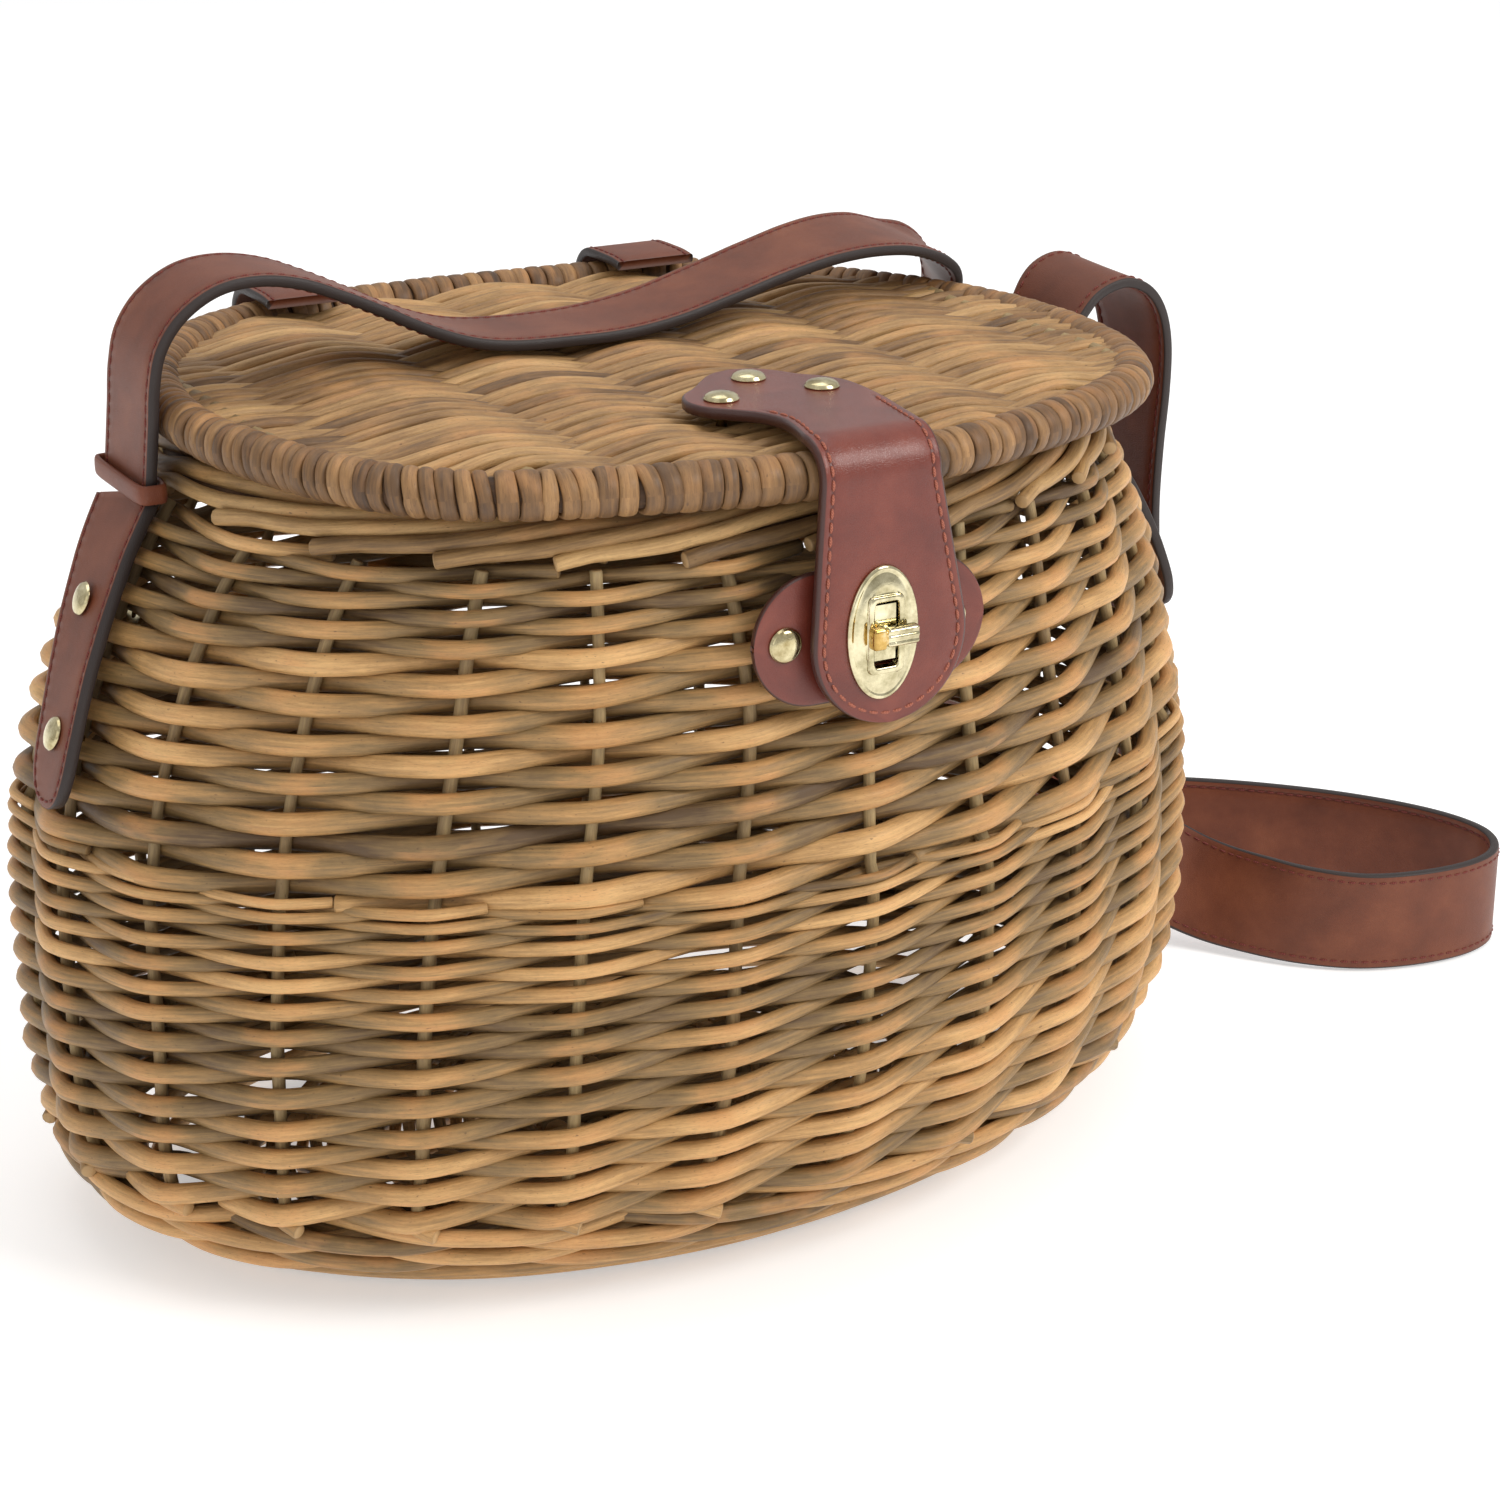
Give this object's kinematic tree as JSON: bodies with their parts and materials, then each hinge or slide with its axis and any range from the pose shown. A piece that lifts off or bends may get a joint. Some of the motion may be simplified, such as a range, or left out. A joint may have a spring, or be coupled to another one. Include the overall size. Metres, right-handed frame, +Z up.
{
  "type": "wicker fishing creel",
  "caption": "Woven willow fishing creel with a D-shaped belly, flat hinged lid, leather clasp flap with a brass turn-lock, and a leather shoulder strap.",
  "frame": {"origin": "on the floor under the middle of the basket, in the plane of its base", "axes": "+X to the basket's right end, where the strap lies on the floor; -Y to the front with the clasp; +Y to the hinge side; +Z up"},
  "size_m": [0.4875, 0.2463, 0.2621],
  "materials": {
    "willow": "satin",
    "willow_dark": "satin",
    "leather": "satin",
    "flap_leather": "satin",
    "brass": "polished"
  },
  "bodies": {
    "basket": {"base_sticks": "willow_dark", "base_weave": "willow", "side_stakes": "willow_dark", "lower_weave": "willow", "upper_weave": "willow", "rim_border": "willow", "hinge_left_rim_loop": "leather", "hinge_right_rim_loop": "leather", "keeper_patch": "flap_leather", "keeper_patch_rivets": "brass", "keeper_patch_burrs": "brass", "turnlock_base": "brass", "turnlock_washer": "brass", "tab_left": "leather", "tab_right": "leather", "tab_left_rivets": "brass", "tab_right_rivets": "brass", "tab_rivet_burrs": "brass", "strap_keeper_left": "leather", "strap_keeper_right": "leather", "strap_left_riser": "leather", "strap_back_leg": "leather", "strap_floor_loop": "leather", "strap_right_leg": "leather", "strap_right_arch": "leather"},
    "lid": {"lid_border": "willow", "lid_sticks": "willow_dark", "lid_weave": "willow", "hinge_left_lid_loop": "leather", "hinge_right_lid_loop": "leather", "flap_head": "flap_leather", "flap_head_rivets": "brass", "flap_rivet_burrs": "brass", "strap_over_lid": "leather"},
    "flap": {"flap_tongue": "flap_leather", "eyelet_plate": "brass", "eyelet_backplate": "brass"},
    "knob": {"turnlock_knob": "brass"}
  },
  "joints": [
    {"name": "lid_open", "type": "hinge", "parent": "basket", "child": "lid", "pos_m": [0, 0.0992, 0.2186], "axis": [-1, 0, 0], "range_deg": [0, 105]},
    {"name": "flap_lift", "type": "hinge", "parent": "lid", "child": "flap", "pos_m": [-0.0015, -0.1374, 0.2264], "axis": [-1, 0, 0], "range_deg": [0, 105]},
    {"name": "knob_turn", "type": "hinge", "parent": "basket", "child": "knob", "pos_m": [-0.0015, -0.1325, 0.188], "axis": [0, -1, 0], "range_deg": [0, 90]}
  ]
}
